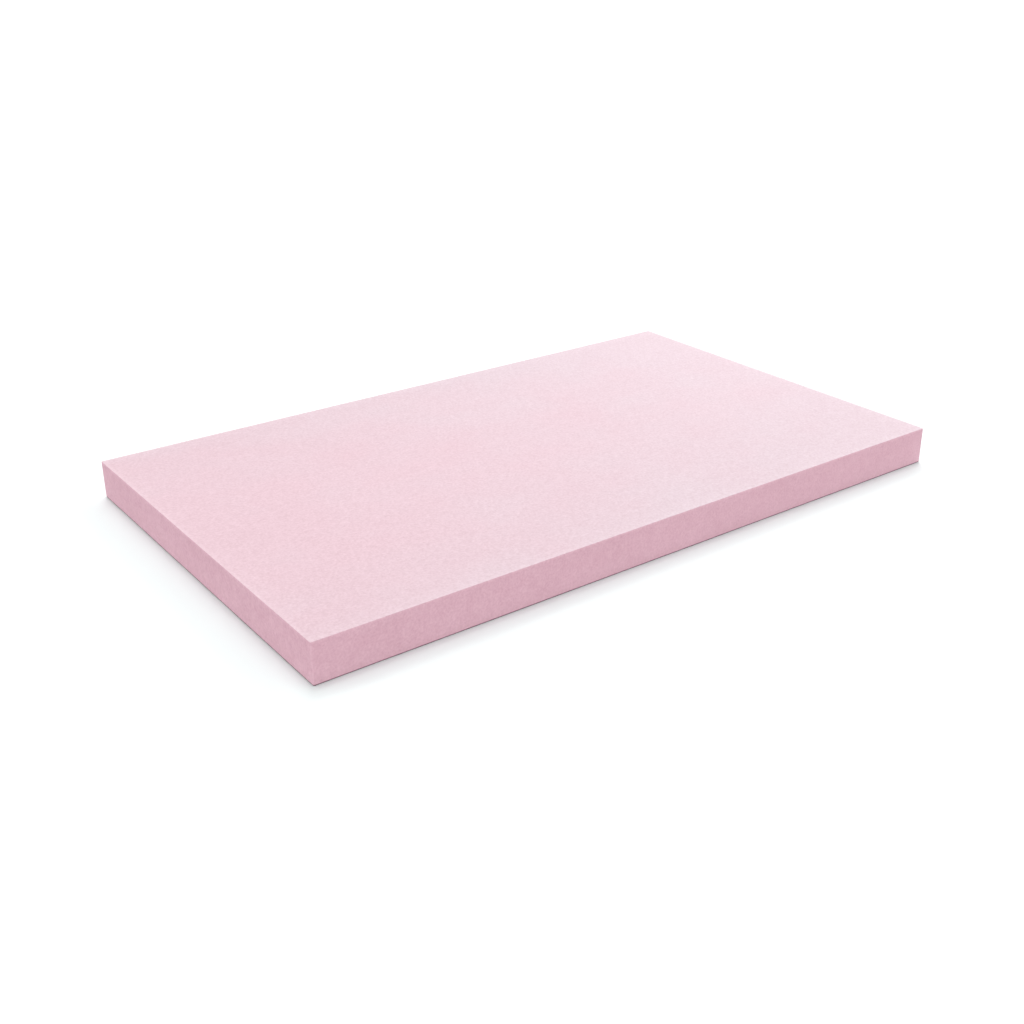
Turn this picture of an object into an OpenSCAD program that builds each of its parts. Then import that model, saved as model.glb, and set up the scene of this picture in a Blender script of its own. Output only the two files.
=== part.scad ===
// Rigid foam insulation board: one plain extruded slab with square butt edges.
// It lies flat, with its length along X, its width along Y and its thickness
// along Z. The origin is the middle of the underside.

/* [Board] */
// Length of the board, end to end
board_length = 1000; // [300:5:3000]
// Width of the board, side to side
board_width = 600; // [200:5:1250]
// Thickness of the board, face to face
board_thickness = 53; // [20:1:200]

/* [Edges] */
// Round on the arrises, where each face meets an edge
arris_radius = 1; // [0.5:0.25:5]
// Round on the four upright corners
corner_radius = 2; // [0.5:0.25:10]

/* [Hidden] */
// How far the two side sections run past the plan outline
section_overrun = 1;
$fn = 64;

// A rectangle about the origin with a quarter circle at each corner
module rounded_rectangle(size_x, size_y, radius) {
    square([size_x - 2 * radius, size_y], center = true);
    square([size_x, size_y - 2 * radius], center = true);
    for (side_x = [-1, 1], side_y = [-1, 1])
        translate([side_x * (size_x / 2 - radius), side_y * (size_y / 2 - radius)])
            circle(radius);
}

// The outline seen from above, through the full thickness
module plan() {
    linear_extrude(board_thickness)
        rounded_rectangle(board_length, board_width, corner_radius);
}

// The long section, seen from the front, run across the width
module long_section() {
    translate([0, 0, board_thickness / 2])
        rotate([90, 0, 0])
            linear_extrude(board_width + 2 * section_overrun, center = true)
                rounded_rectangle(board_length, board_thickness, arris_radius);
}

// The cross section, seen from one end, run along the length
module cross_section() {
    translate([0, 0, board_thickness / 2])
        rotate([90, 0, 90])
            linear_extrude(board_length + 2 * section_overrun, center = true)
                rounded_rectangle(board_width, board_thickness, arris_radius);
}

// The whole board is what the three outlines share
module foam_board() {
    color("pink")
        intersection() {
            plan();
            long_section();
            cross_section();
        }
}

foam_board();
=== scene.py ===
"""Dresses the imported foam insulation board: its mesh, its foam, the studio and the camera.

Everything is in metres, in the part's own frame: +X along the length, +Y across the
width, +Z up, with the origin in the middle of the underside.
"""

import math

import bpy
import numpy as np
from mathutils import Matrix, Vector, noise


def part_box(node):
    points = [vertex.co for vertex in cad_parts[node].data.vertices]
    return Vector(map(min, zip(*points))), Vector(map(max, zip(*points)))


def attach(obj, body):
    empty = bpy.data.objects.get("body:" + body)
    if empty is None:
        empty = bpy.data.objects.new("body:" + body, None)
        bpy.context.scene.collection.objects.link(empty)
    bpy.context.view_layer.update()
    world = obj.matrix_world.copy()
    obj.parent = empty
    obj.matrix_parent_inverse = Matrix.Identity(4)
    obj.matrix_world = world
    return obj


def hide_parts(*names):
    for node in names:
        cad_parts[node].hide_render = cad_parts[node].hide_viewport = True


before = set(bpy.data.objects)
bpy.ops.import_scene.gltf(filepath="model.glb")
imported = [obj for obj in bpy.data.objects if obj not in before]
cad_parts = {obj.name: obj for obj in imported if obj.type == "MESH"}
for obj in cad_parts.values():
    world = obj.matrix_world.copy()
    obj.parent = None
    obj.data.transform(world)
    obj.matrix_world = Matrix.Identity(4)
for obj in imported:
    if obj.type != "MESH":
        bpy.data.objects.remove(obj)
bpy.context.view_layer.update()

MM = 0.001
board_low, board_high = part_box("foam_board")
LENGTH, WIDTH, THICKNESS = board_high - board_low

# The rounds of the imported solid, how far up and in the lower arrises are worn, how far
# the underside is drawn up off the floor along its rim, how high the painted contact shadow
# reaches on the lower arrises, and how far in from the rim the underside still clears the floor
ARRIS_RADIUS = 1 * MM
CORNER_RADIUS = 2 * MM
LOWER_WEAR = 1.8 * MM
LOWER_INSET = 0.4 * MM
RIM_LIFT = 0.3 * MM
PAINTED_SHADE_REACH = 1.9 * MM
LIFT_REACH = 28 * MM

# How finely the board is meshed
COLUMN_STEP = 2 * MM
CORNER_STEPS = 4
ARRIS_STEPS = 4
SIDE_STEP = 3 * MM
RIM_INSET = 1.9 * MM
FACE_INSET = 7 * MM
FACE_STEP = 8 * MM

# How deep the relief goes, which only ever takes foam away, and how large its lumps are:
# one size, or one each along X, Y and Z
FACE_WAVE = 0.20 * MM
FACE_WAVE_SIZE = (300 * MM, 90 * MM, 90 * MM)
CUT_WAVE = 0.20 * MM
CUT_WAVE_SIZE = (70 * MM, 70 * MM, 45 * MM)
BLADE_MARK = 0.08 * MM
BLADE_MARK_SIZE = (7 * MM, 7 * MM, 160 * MM)
ARRIS_CRUSH = 0.20 * MM
CRUSH_REACH = 2 * ARRIS_RADIUS
CRUSH_SIZE = 24 * MM
NICK_SIZE = 6 * MM
NICK_SHARE = 0.55
NICK_ABOVE = 0.62
LIFT_SIZE = 150 * MM

# The gap between the faces of the board's unfolded map
MAP_GAP = 8 * MM

# How far the look of the cut sides spreads over the arrises
CUT_SPREAD = 1.8

# The foam's colours, as linear light. Lighter and darker spots reach least into the red
DEEP_SKIN_COLOUR = (0.645, 0.461, 0.511)
# The pale skin colour is where the painted sheen towards +X leads, as well as the paler clouds
PALE_SKIN_COLOUR = (0.604, 0.480, 0.523)
CUT_COLOUR = (0.587, 0.353, 0.417)
# How much paler the arrises are painted: partly paler crushed cells, partly a painted highlight along
# the edges
CRUSH_AND_HIGHLIGHT_PALER = 1.06
TONE_REACH = (0.74, 1.08, 1.0)
# A dark colour painted along the lower arris: painted shade that stands in for the contact shadow where
# the board meets the floor
PAINTED_SHADE_COLOUR = (0.13, 0.06, 0.078)
PAINTED_SHADE_SHARE = 0.9

# How pale the skin is: in the middle of the board, how much that grows from end to end as
# a painted sheen towards +X, and from the middle line to the long edges, and how much clouds change it
PALE_MIDDLE = 0.4
PAINTED_SHEEN_ALONG = 1.1
PALE_ACROSS = 0.5
PALE_CLOUD = 0.8

# The foam's patterns, and how large their lumps are. A band along the rim of the skin is lighter
# than the rest, and the low part of the cut sides is painted lighter, painted light that evens out the
# shade near the floor
GRAIN_SIZE = 3 * MM
MOTTLE_SIZE = 9 * MM
PATCH_SIZE = 40 * MM
CLOUD_SIZE = (110 * MM, 90 * MM, 60 * MM)
STREAK_SIZE = (420 * MM, 9 * MM, 9 * MM)
BLADE_SIZE = (3 * MM, 3 * MM, 120 * MM)
RIM_BAND = 35 * MM
LOW_PAINTED_LIGHT_MIDDLE = 0.3

# How much each pattern lightens and darkens the foam, and how high its bump stands: on
# all of it, then on the skin alone, then on the cut sides alone
TONE = (
    {"grain": 0.44, "cloud": 0.05},
    {"mottle": 0.11, "streak": 0.03, "rim": 0.03},
    # low paints the cut sides lighter low down and darker near the top: painted light that evens out
    # the shade near the floor
    {"mottle": 0.16, "patch": 0.08, "low": 0.13, "blade": 0.045},
)
BUMP = (
    {"mottle": 0.08 * MM},
    {"grain": 0.16 * MM},
    {"grain": 0.22 * MM, "blade": 0.10 * MM},
)
SKIN_ROUGHNESS = 0.76
CUT_ROUGHNESS = 0.90
GRAIN_SMOOTHER = 0.04
FOAM_IOR = 1.45

# The studio: a tent of light, bright all round its walls and fading overhead, two high
# lights behind the board, on the right, and a box of light beside it
FLOOR_COLOUR = (0.865, 0.928, 0.920)
FLOOR_SIZE = 60
WALL_STRENGTH = 1.53
WALL_ENDS = (30, 75)
KEY_AZIMUTH = 150
KEY_HEIGHT = 3
SOFTBOX_PLACE = Vector((1.3, 0.5, 1.2))
SOFTBOX_AIM = Vector((0.2, 0, 0))
SOFTBOX_SIZE = 1.2
SOFTBOX_WATTS = 8.5

# The camera, from the photograph's viewing angle
CAMERA_AZIMUTH = -37.03
CAMERA_ELEVATION = 24.32
CAMERA_DISTANCE = 1.7899 * LENGTH
CAMERA_TARGET = Vector((-0.0210, -0.0435, 0)) * LENGTH
CAMERA_LENS_MM = 45.13
SENSOR_MM = 36
CAMERA_SHIFT = -0.0193


# ---------------------------------------------------------------- the relief


def clamp(value):
    """The value, kept between 0 and 1."""
    return min(1, max(0, value))


def triple(size):
    """A size for each of X, Y and Z."""
    return size if isinstance(size, tuple) else (size,) * 3


def ripple(point, size, seed):
    """Smooth noise from 0 to 1 whose lumps measure about size."""
    place = Vector(p / s for p, s in zip(point, triple(size))) + Vector((seed, -seed, 0.5 * seed))
    return clamp(0.5 + 0.5 * noise.fractal(place, 1.0, 2.0, 2))


def face_depth(point):
    """How far an extruded face dips: long low waves, drawn out along the length."""
    return FACE_WAVE * ripple(point, FACE_WAVE_SIZE, 11)


def cut_depth(point):
    """How far a trimmed side dips: slow waves, and faint upright marks of the blade."""
    wave = ripple(point, CUT_WAVE_SIZE, 23)
    mark = ripple(point, BLADE_MARK_SIZE, 37)
    return CUT_WAVE * wave + BLADE_MARK * mark


def crush_depth(point):
    """How far an arris is crushed: a little all along it, and more here and there."""
    soft = ripple(point, CRUSH_SIZE, 41)
    nick = clamp((ripple(point, NICK_SIZE, 53) - NICK_ABOVE) / (1 - NICK_ABOVE))
    return ARRIS_CRUSH * ((1 - NICK_SHARE) * soft + NICK_SHARE * nick)


def lift_height(point):
    """How far the underside clears the floor: most at its rim, and unevenly along it."""
    from_edge = min(LENGTH / 2 - abs(point[0]), WIDTH / 2 - abs(point[1]))
    share = clamp(1 - from_edge / LIFT_REACH)
    return RIM_LIFT * share ** 2 * (0.7 + 0.6 * ripple(point, LIFT_SIZE, 67))


# ---------------------------------------------------------------- the board's mesh


class Surface:
    """The board's points and faces while they are put together: how much each point is
    cut foam, crushed and painted paler as a highlight, darkened by painted contact
    shadow, and where each face's corners go on the map."""

    def __init__(self):
        self.points = []
        self.marks = {"cut": [], "crush_and_highlight": [], "painted_shade": []}
        self.faces, self.places = [], []

    def add_point(self, point, **marks):
        self.points.append(point)
        for name, values in self.marks.items():
            values.append(marks.get(name, 0))

    def add_face(self, corners, places):
        self.faces.append(corners)
        self.places.append(places)

    def to_mesh(self, name):
        mesh = bpy.data.meshes.new(name)
        mesh.from_pydata([tuple(point) for point in self.points], [], self.faces)
        for name, values in self.marks.items():
            mesh.attributes.new(name, "FLOAT", "POINT").data.foreach_set("value", values)
        flat = np.array([place for places in self.places for place in places])
        low, high = flat.min(0), flat.max(0)
        layer = mesh.uv_layers.new(name="OFBake")
        layer.uv.foreach_set("vector", ((flat - low) / (high - low)).astype(np.float32).ravel())
        mesh.shade_smooth()
        mesh.validate()
        return mesh


def edge_columns():
    """The columns round the edge, anticlockwise from above: the side that each belongs
    to, its point on the outline shrunk by the corner radius, its outward direction and
    its distance along its side from the side's middle."""
    half_x, half_y = LENGTH / 2 - CORNER_RADIUS, WIDTH / 2 - CORNER_RADIUS
    corners = [Vector((half_x, -half_y, 0)), Vector((half_x, half_y, 0)),
               Vector((-half_x, half_y, 0)), Vector((-half_x, -half_y, 0))]
    turn_step = math.radians(90 / CORNER_STEPS)
    columns = []
    for side in range(4):
        start, end = corners[side], corners[(side + 1) % 4]
        run = (end - start).length
        facing = math.radians(90 * side)
        for step in range(CORNER_STEPS // 2, 0, -1):
            turn = step * turn_step
            columns.append((side, start, facing - turn, -run / 2 - turn * CORNER_RADIUS))
        steps = round(run / COLUMN_STEP)
        for step in range(steps + 1):
            share = step / steps
            columns.append((side, start.lerp(end, share), facing, run * (share - 0.5)))
        for step in range(1, CORNER_STEPS // 2):
            turn = step * turn_step
            columns.append((side, end, facing + turn, run / 2 + turn * CORNER_RADIUS))
    return columns


def arris_rows(reach_in, reach_down):
    """The inset, the depth below the face and the slope of each row over an arris, from
    the face's rim to the side."""
    rows = [(RIM_INSET, 0, math.pi / 2)]
    for step in range(ARRIS_STEPS + 1):
        turn = math.pi / 2 * (1 - step / ARRIS_STEPS)
        inset, depth = reach_in * (1 - math.cos(turn)), reach_down * (1 - math.sin(turn))
        slope = math.atan2(math.sin(turn) * reach_in, math.cos(turn) * reach_down)
        rows.append((inset, depth, slope))
    return rows


def edge_rows():
    """The rows of the edge: from the top face's rim over the arris, down the side and
    round to the bottom face's rim. Each has its inset, its height, its slope and the
    distance down to it. The slope is the surface's outward direction: a right angle on
    the top, 0 on the side and minus a right angle underneath."""
    upper = [(inset, THICKNESS - depth, slope)
             for inset, depth, slope in arris_rows(ARRIS_RADIUS, ARRIS_RADIUS)]
    lower = [(inset, depth, -slope)
             for inset, depth, slope in reversed(arris_rows(LOWER_INSET, LOWER_WEAR))]
    side = THICKNESS - ARRIS_RADIUS - LOWER_WEAR
    count = round(side / SIDE_STEP)
    middle = [(0, THICKNESS - ARRIS_RADIUS - side * row / count, 0) for row in range(1, count)]
    rows, down = [], 0
    for inset, height, slope in upper + middle + lower:
        if rows:
            down += math.dist((inset, height), rows[-1][:2])
        rows.append((inset, height, slope, down))
    return rows


def edge_point(column, row):
    """A point of the edge, and how much it is cut foam, crushed and painted paler as a highlight, and
    darkened by painted contact shadow.
    """
    _, base, turn, _ = column
    inset, height, slope, _ = row
    out = Vector((math.cos(turn), math.sin(turn), 0))
    flat = base + out * (CORNER_RADIUS - inset) + Vector((0, 0, height))
    normal = out * math.cos(slope) + Vector((0, 0, math.sin(slope)))
    cut = clamp(CUT_SPREAD * math.cos(slope) ** 2)
    from_arris = max(min(height, THICKNESS - height), inset) - ARRIS_RADIUS
    # This share also paints the arrises paler: crushed cells and a painted highlight
    crush_and_highlight = clamp(max(1 - from_arris / CRUSH_REACH, abs(math.sin(2 * turn))))
    depth = cut * cut_depth(flat) + (1 - cut) * face_depth(flat) + crush_and_highlight * crush_depth(flat)
    if slope >= 0:
        return flat - normal * depth, {"cut": cut, "crush_and_highlight": crush_and_highlight}
    # Painted shade: a dark band on the lowest part of the lower arris stands in for the contact shadow
    # against the floor
    painted_shade = clamp(2 * (1 - height / PAINTED_SHADE_REACH))
    lift = Vector((0, 0, (1 - cut) * lift_height(flat)))
    return flat - normal * depth + lift, {"cut": cut, "crush_and_highlight": crush_and_highlight, "painted_shade": painted_shade}


def edge_place(side, along, down):
    """Where a point of the edge goes on the unfolded board."""
    reach = (LENGTH if side % 2 == 0 else WIDTH) / 2 - RIM_INSET + MAP_GAP + down
    return [(reach, along), (-along, reach), (-reach, -along), (along, -reach)][side]


def face_place(upward, point):
    """Where a point of a face goes on the unfolded board: the bottom lies beyond the
    front side."""
    if upward:
        return (point[0], point[1])
    front_side = THICKNESS + 2 * RIM_INSET + 2 * MAP_GAP
    return (point[0], -WIDTH - front_side - point[1])


def add_edge(surface, columns, rows):
    """The edge, as a band of columns and rows all the way round."""
    for row in rows:
        for column in columns:
            point, marks = edge_point(column, row)
            surface.add_point(point, **marks)
    count = len(columns)
    side_reach = [-min(along for side, _, _, along in columns if side == wanted) for wanted in range(4)]
    for index, (side, _, _, along) in enumerate(columns):
        after = (index + 1) % count
        same_side = columns[after][0] == side
        along_after = columns[after][3] if same_side else side_reach[side]
        for row in range(len(rows) - 1):
            here, below = row * count, (row + 1) * count
            down, down_below = rows[row][3], rows[row + 1][3]
            surface.add_face(
                (here + index, below + index, below + after, here + after),
                [edge_place(side, along, down), edge_place(side, along, down_below),
                 edge_place(side, along_after, down_below), edge_place(side, along_after, down)],
            )


def zip_strip(points, outer, inner, way):
    """Triangles that join two chains of points with different spacing, going along both
    in the direction way."""
    outer_at = [points[index].dot(way) for index in outer]
    inner_at = [points[index].dot(way) for index in inner]
    faces, i, j = [], 0, 0
    while i < len(outer) - 1 or j < len(inner) - 1:
        inner_done = j == len(inner) - 1
        if inner_done or (i < len(outer) - 1 and outer_at[i + 1] <= inner_at[j + 1]):
            faces.append((outer[i], outer[i + 1], inner[j]))
            i += 1
        else:
            faces.append((outer[i], inner[j + 1], inner[j]))
            j += 1
    return faces


def add_face_grid(surface, columns, rim_start, upward):
    """The top or the bottom face: a grid, zipped to the rim that starts at rim_start."""
    points = surface.points
    height = THICKNESS if upward else 0
    inward = Vector((0, 0, -1 if upward else 1))
    count_x, count_y = round(LENGTH / FACE_STEP), round(WIDTH / FACE_STEP)
    start = len(points)
    for y in np.linspace(FACE_INSET - WIDTH / 2, WIDTH / 2 - FACE_INSET, count_y):
        for x in np.linspace(FACE_INSET - LENGTH / 2, LENGTH / 2 - FACE_INSET, count_x):
            flat = Vector((x, y, height))
            depth = face_depth(flat) + (0 if upward else lift_height(flat))
            surface.add_point(flat + inward * depth)

    def at(i, j):
        return start + j * count_x + i

    faces = [(at(i, j), at(i + 1, j), at(i + 1, j + 1), at(i, j + 1))
             for j in range(count_y - 1) for i in range(count_x - 1)]
    inner = [
        [at(count_x - 1, j) for j in range(count_y)],
        [at(i, count_y - 1) for i in reversed(range(count_x))],
        [at(0, j) for j in reversed(range(count_y))],
        [at(i, 0) for i in range(count_x)],
    ]
    ways = [Vector((0, 1, 0)), Vector((-1, 0, 0)), Vector((0, -1, 0)), Vector((1, 0, 0))]
    first = [next(i for i, column in enumerate(columns) if column[0] == side) for side in range(4)]
    for side in range(4):
        last = first[side + 1] if side < 3 else len(columns)
        outer = [rim_start + index % len(columns) for index in range(first[side], last + 1)]
        faces += zip_strip(points, outer, inner[side], ways[side])
    for face in faces:
        face = face if upward else face[::-1]
        surface.add_face(face, [face_place(upward, points[index]) for index in face])


def board_mesh():
    """The whole board as one closed mesh, with a map that unfolds it like a carton."""
    surface = Surface()
    columns, rows = edge_columns(), edge_rows()
    add_edge(surface, columns, rows)
    add_face_grid(surface, columns, 0, True)
    add_face_grid(surface, columns, (len(rows) - 1) * len(columns), False)
    return surface.to_mesh("foam_board_dressed")


# ---------------------------------------------------------------- the foam


class Nodes:
    """Short calls for the nodes of one material."""

    def __init__(self, name):
        self.material = bpy.data.materials.new(name)
        self.material.use_nodes = True
        self.tree = self.material.node_tree
        self.tree.nodes.clear()

    def add(self, kind, settings=None, **inputs):
        node = self.tree.nodes.new(kind)
        for name, value in (settings or {}).items():
            setattr(node, name, value)
        for name, value in inputs.items():
            self.put(node.inputs[name.replace("_", " ")], value)
        return node

    def put(self, socket, value):
        if isinstance(value, bpy.types.NodeSocket):
            self.tree.links.new(value, socket)
        else:
            socket.default_value = value

    def math(self, operation, first, second=0.0):
        node = self.tree.nodes.new("ShaderNodeMath")
        node.operation = operation
        self.put(node.inputs[0], first)
        self.put(node.inputs[1], second)
        return node.outputs[0]

    def total(self, *parts):
        """The sum of (value, weight) pairs."""
        result = 0.0
        for value, weight in parts:
            result = self.math("ADD", result, self.math("MULTIPLY", value, weight))
        return result

    def mix(self, share, first, second):
        node = self.tree.nodes.new("ShaderNodeMix")
        node.data_type = "RGBA"
        self.put(node.inputs["Factor"], share)
        self.put(node.inputs["A"], first)
        self.put(node.inputs["B"], second)
        return node.outputs["Result"]

    def mark(self, name):
        """One of the marks that the mesh's points carry."""
        return self.add("ShaderNodeAttribute", {"attribute_name": name}).outputs["Fac"]

    def noise(self, place, size, detail=2, rough=0.5):
        """Noise about 0 whose lumps measure about size."""
        scaled = self.add("ShaderNodeVectorMath", {"operation": "MULTIPLY"})
        self.put(scaled.inputs[0], place)
        self.put(scaled.inputs[1], tuple(1 / s for s in triple(size)))
        found = self.add("ShaderNodeTexNoise", Vector=scaled.outputs[0], Scale=1.0,
                         Detail=detail, Roughness=rough)
        return self.math("SUBTRACT", found.outputs["Fac"], 0.5)


def rgba(colour):
    return (*colour, 1.0)


def skin_shares(n, split, cloud):
    """Two shares that vary over the faces: how near the rim a point is, and how pale the
    skin is there, which takes in a painted sheen that grows towards +X."""
    from_end = n.math("SUBTRACT", LENGTH / 2, n.math("ABSOLUTE", split["X"]))
    from_side = n.math("SUBTRACT", WIDTH / 2, n.math("ABSOLUTE", split["Y"]))
    inward = n.math("DIVIDE", n.math("MINIMUM", from_end, from_side), RIM_BAND)
    rim = n.math("POWER", n.math("SUBTRACT", 1.0, n.math("MINIMUM", inward, 1.0)), 2.0)
    across = n.math("POWER", n.math("DIVIDE", n.math("ABSOLUTE", split["Y"]), WIDTH / 2), 2.0)
    paleness = n.total((split["X"], PAINTED_SHEEN_ALONG / LENGTH), (across, PALE_ACROSS), (cloud, PALE_CLOUD))
    clamped = n.add("ShaderNodeClamp", Value=n.math("ADD", paleness, PALE_MIDDLE))
    return rim, clamped.outputs["Result"]


def foam_patterns(n):
    """Every pattern of the foam by its name, and how pale the skin is."""
    place = n.add("ShaderNodeTexCoord").outputs["Object"]
    split = n.add("ShaderNodeSeparateXYZ", Vector=place).outputs
    cloud = n.noise(place, CLOUD_SIZE)
    rim, paleness = skin_shares(n, split, cloud)
    # Painted light: lighter low down on a cut side and darker near its top, evening out the shade near
    # the floor
    low = n.math("POWER", n.math("SUBTRACT", 1.0, n.math("DIVIDE", split["Z"], THICKNESS)), 2.0)
    patterns = {
        "grain": n.noise(place, GRAIN_SIZE, detail=2.5, rough=0.6),
        "mottle": n.noise(place, MOTTLE_SIZE),
        "patch": n.noise(place, PATCH_SIZE),
        "cloud": cloud,
        "streak": n.noise(place, STREAK_SIZE),
        "blade": n.noise(place, BLADE_SIZE),
        "rim": rim,
        "low": n.math("SUBTRACT", low, LOW_PAINTED_LIGHT_MIDDLE),
    }
    return patterns, paleness


def layered(n, patterns, cut, weights):
    """The weighted sum of the patterns, from the weights for all of the foam, for the skin
    and for the cut sides."""
    everywhere, skin_part, cut_part = [
        n.total(*[(patterns[name], weight) for name, weight in part.items()]) for part in weights
    ]
    skin = n.math("SUBTRACT", 1.0, cut)
    return n.total((everywhere, 1.0), (skin_part, skin), (cut_part, cut))


def foam_colour(n, tone, cut, paleness):
    """The skin's colour or the cut foam's, under the painted contact shadow along the lower arris,
    lightened or darkened by tone.
    """
    painted_shade = n.mark("painted_shade")
    skin_colour = n.mix(paleness, rgba(DEEP_SKIN_COLOUR), rgba(PALE_SKIN_COLOUR))
    plain = n.mix(cut, skin_colour, rgba(CUT_COLOUR))
    # Painted shade: the contact shadow along the lower arris, mixed into the base colour
    plain = n.mix(n.math("MULTIPLY", painted_shade, PAINTED_SHADE_SHARE), plain, rgba(PAINTED_SHADE_COLOUR))
    change = n.add("ShaderNodeVectorMath", {"operation": "SCALE"}, Scale=tone)
    n.put(change.inputs[0], TONE_REACH)
    toned = n.add("ShaderNodeVectorMath", {"operation": "MULTIPLY_ADD"})
    for socket, value in zip(toned.inputs, (plain, change.outputs[0], plain)):
        n.put(socket, value)
    return toned.outputs[0]


def foam_material():
    """Closed-cell foam: a pale skin on the faces with a painted sheen towards +X, deeper cut
    cells on the edges painted lighter low down, arrises painted paler for crushed cells and a
    painted highlight, and a painted contact shadow along the lower arris."""
    n = Nodes("foam")
    cut = n.mark("cut")
    patterns, paleness = foam_patterns(n)
    # The arrises are painted paler: crushed cells and a painted highlight
    tone = n.total((layered(n, patterns, cut, TONE), 1.0), (n.mark("crush_and_highlight"), CRUSH_AND_HIGHLIGHT_PALER - 1))
    roughness = n.total((cut, CUT_ROUGHNESS - SKIN_ROUGHNESS), (patterns["grain"], -GRAIN_SMOOTHER))
    bump = n.add("ShaderNodeBump", Strength=1.0, Distance=1.0,
                 Height=layered(n, patterns, cut, BUMP))
    shader = n.add("ShaderNodeBsdfPrincipled", Base_Color=foam_colour(n, tone, cut, paleness),
                   Roughness=n.math("ADD", roughness, SKIN_ROUGHNESS),
                   Normal=bump.outputs["Normal"])
    shader.inputs["IOR"].default_value = FOAM_IOR
    n.add("ShaderNodeOutputMaterial", Surface=shader.outputs["BSDF"])
    return n.material


def make_board():
    board = bpy.data.objects.new("foam_board_dressed", board_mesh())
    bpy.context.scene.collection.objects.link(board)
    board.data.materials.append(foam_material())
    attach(board, "root")
    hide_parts("foam_board")


# ---------------------------------------------------------------- the studio


def make_floor():
    """A plain pale floor that runs far out, a little cooler than white: it evens out the
    pink light that the board throws on it."""
    half = FLOOR_SIZE / 2
    corners = [(-half, -half, 0), (half, -half, 0), (half, half, 0), (-half, half, 0)]
    mesh = bpy.data.meshes.new("studio_floor")
    mesh.from_pydata(corners, [], [(0, 1, 2, 3)])
    floor = bpy.data.objects.new("studio_floor", mesh)
    bpy.context.scene.collection.objects.link(floor)
    n = Nodes("studio_floor")
    shader = n.add("ShaderNodeBsdfDiffuse", Color=rgba(FLOOR_COLOUR))
    n.add("ShaderNodeOutputMaterial", Surface=shader.outputs["BSDF"])
    mesh.materials.append(n.material)


def make_tent():
    """White light from all round, which fades out between WALL_ENDS, in degrees above the
    floor."""
    world = bpy.data.worlds.new("studio_tent")
    world.use_nodes = True
    tree = world.node_tree
    place = tree.nodes.new("ShaderNodeTexCoord")
    split = tree.nodes.new("ShaderNodeSeparateXYZ")
    fade = tree.nodes.new("ShaderNodeMapRange")
    tent = tree.nodes["Background"]
    tree.links.new(place.outputs["Generated"], split.inputs[0])
    tree.links.new(split.outputs["Z"], fade.inputs["Value"])
    tree.links.new(fade.outputs["Result"], tent.inputs["Strength"])
    fade.inputs["From Min"].default_value = math.sin(math.radians(WALL_ENDS[0]))
    fade.inputs["From Max"].default_value = math.sin(math.radians(WALL_ENDS[1]))
    fade.inputs["To Min"].default_value = WALL_STRENGTH
    fade.inputs["To Max"].default_value = 0
    tent.inputs["Color"].default_value = rgba((1, 1, 1))
    bpy.context.scene.world = world


def towards(azimuth, elevation):
    azimuth, elevation = math.radians(azimuth), math.radians(elevation)
    return Vector((
        math.sin(azimuth) * math.cos(elevation),
        -math.cos(azimuth) * math.cos(elevation),
        math.sin(elevation),
    ))


def place_facing(name, data, position, back):
    """Puts a light or the camera at position, looking away from the direction back."""
    holder = bpy.data.objects.new(name, data)
    holder.location = position
    holder.rotation_euler = back.to_track_quat("Z", "Y").to_euler()
    bpy.context.scene.collection.objects.link(holder)
    return holder


def make_key(name, elevation, spread, strength):
    """A soft distant light, spread degrees wide, from behind the board on the right."""
    light = bpy.data.lights.new(name, "SUN")
    light.energy = strength
    light.angle = math.radians(spread)
    place_facing(name, light, Vector((0, 0, KEY_HEIGHT)), towards(KEY_AZIMUTH, elevation))


def make_softbox():
    """A square area light that faces the board from the right."""
    light = bpy.data.lights.new("right_softbox", "AREA")
    light.shape = "SQUARE"
    light.size = SOFTBOX_SIZE
    light.energy = SOFTBOX_WATTS
    place_facing("right_softbox", light, SOFTBOX_PLACE, SOFTBOX_PLACE - SOFTBOX_AIM)


def make_camera():
    back = towards(CAMERA_AZIMUTH, CAMERA_ELEVATION)
    lens = bpy.data.cameras.new("camera")
    lens.lens = CAMERA_LENS_MM
    lens.sensor_width = SENSOR_MM
    lens.shift_x = CAMERA_SHIFT
    lens.shift_y = CAMERA_SHIFT
    position = CAMERA_TARGET + back * CAMERA_DISTANCE
    bpy.context.scene.camera = place_facing("camera", lens, position, back)


make_camera()
make_board()
make_floor()
make_tent()
make_key("key_high", elevation=80, spread=12, strength=0.72)
make_key("key_low", elevation=60, spread=20, strength=0.61)
make_softbox()
bpy.context.scene.view_settings.view_transform = "Standard"
